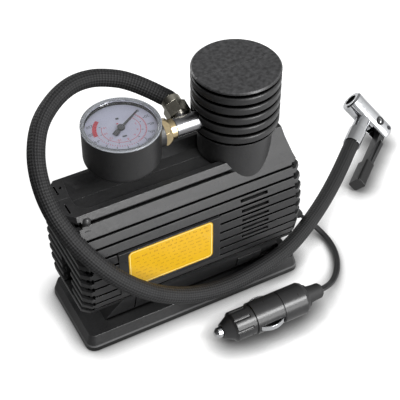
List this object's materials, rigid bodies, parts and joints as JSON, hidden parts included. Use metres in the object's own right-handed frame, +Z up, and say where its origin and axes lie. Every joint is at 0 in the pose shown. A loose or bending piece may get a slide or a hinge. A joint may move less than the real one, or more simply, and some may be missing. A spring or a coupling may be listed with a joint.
{
  "type": "portable tire inflator",
  "caption": "12 V piston air compressor in a ribbed housing on a base, with pressure gauge, braided air hose with lever chuck, and a power cord with an accessory-socket plug.",
  "frame": {"origin": "centre of the base's underside, on the floor", "axes": "+X along the housing towards the cylinder tower, +Y away from the label side, +Z up"},
  "size_m": [0.2943, 0.1492, 0.1598],
  "materials": {
    "housing_plastic": "fine satin grain",
    "black_plastic": "fine satin grain",
    "plug_plastic": "gloss",
    "white_plastic": "natural nylon",
    "label": "printed film",
    "dark_steel": "blackened steel",
    "zinc_steel": "zinc plated",
    "magnet": "sintered ferrite",
    "cast_alloy": "die cast",
    "brass": "turned",
    "chrome_plate": "bright plated",
    "fibre": "pressed fibre",
    "black_rubber": "moulded",
    "braid": "braided cover on rubber hose",
    "cord_jacket": "smooth jacket",
    "dial_white": "printed dial",
    "black_paint": "satin black",
    "clear_lens": "clear polycarbonate"
  },
  "bodies": {
    "frame": {"base": "black_plastic", "base_screws": "dark_steel", "front_housing": "housing_plastic", "rear_housing": "housing_plastic", "housing_screws": "dark_steel", "label_plate": "label", "motor_can": "zinc_steel", "motor_magnets": "magnet", "motor_end_bell": "white_plastic", "motor_screws": "dark_steel", "gear_plate": "cast_alloy", "crank_bush": "brass", "cylinder": "cast_alloy", "valve_plate": "zinc_steel", "delivery_reed": "zinc_steel", "cylinder_head": "cast_alloy", "tie_bolts": "dark_steel", "outlet_manifold": "chrome_plate", "sealing_washer": "fibre", "gauge_collar": "brass", "gauge_nut": "brass", "gauge_socket": "brass", "gauge_case": "black_plastic", "bourdon_tube": "brass", "gauge_movement": "brass", "gauge_dial": "dial_white", "gauge_lens": "clear_lens", "hose_nut": "chrome_plate", "air_hose": "braid", "hose_ferrule": "chrome_plate", "chuck_body": "chrome_plate", "chuck_seal": "black_rubber", "chuck_cap": "chrome_plate", "chuck_pin": "dark_steel", "cord_gland": "black_rubber", "power_cord": "cord_jacket", "plug_tail": "black_rubber", "plug_body": "plug_plastic", "plug_fuse": "zinc_steel", "plug_nose": "plug_plastic"},
    "rotor": {"armature": "zinc_steel", "pinion": "brass"},
    "crankshaft": {"drive_gear": "white_plastic", "crank": "dark_steel"},
    "piston": {"piston_rod": "cast_alloy", "piston_cup": "black_rubber", "piston_screw": "dark_steel"},
    "pointer": {"gauge_pointer": "black_paint"},
    "lever": {"chuck_lever": "black_paint", "lever_grip": "black_plastic"},
    "tip": {"plug_tip": "chrome_plate"},
    "contact_near": {"plug_contact_near": "chrome_plate"},
    "contact_far": {"plug_contact_far": "chrome_plate"}
  },
  "joints": [
    {"name": "crank_spin", "type": "hinge", "parent": "frame", "child": "crankshaft", "pos_m": [0.0288, 0, 0.067], "axis": [1, 0, 0], "continuous": true},
    {"name": "rotor_spin", "type": "hinge", "parent": "frame", "child": "rotor", "pos_m": [0, 0, 0.049], "axis": [1, 0, 0], "continuous": true},
    {"name": "piston_stroke", "type": "slide", "parent": "frame", "child": "piston", "axis": [0, 0, 1], "range_m": [-0.02, 0]},
    {"name": "pointer_sweep", "type": "hinge", "parent": "frame", "child": "pointer", "pos_m": [-0.0328, 0, 0.129], "axis": [0, 0.0349, -0.9994], "range_deg": [0, 245], "stiffness_Nm_per_rad": 0.00002},
    {"name": "lever_throw", "type": "hinge", "parent": "frame", "child": "lever", "pos_m": [0.19747, 0.04998, 0.00976], "axis": [0.3993, -0.5443, 0.7378], "range_deg": [0, 90]},
    {"name": "tip_press", "type": "slide", "parent": "frame", "child": "tip", "axis": [1, 0, 0], "range_m": [0, 0.003], "stiffness_N_per_m": 800},
    {"name": "contact_near_press", "type": "slide", "parent": "frame", "child": "contact_near", "axis": [0, 1, 0], "range_m": [0, 0.0026], "stiffness_N_per_m": 600},
    {"name": "contact_far_press", "type": "slide", "parent": "frame", "child": "contact_far", "axis": [0, -1, 0], "range_m": [0, 0.0026], "stiffness_N_per_m": 600}
  ],
  "couplings": [
    {"joint": "crank_spin", "follows": "rotor_spin", "ratio": -0.26316}
  ]
}
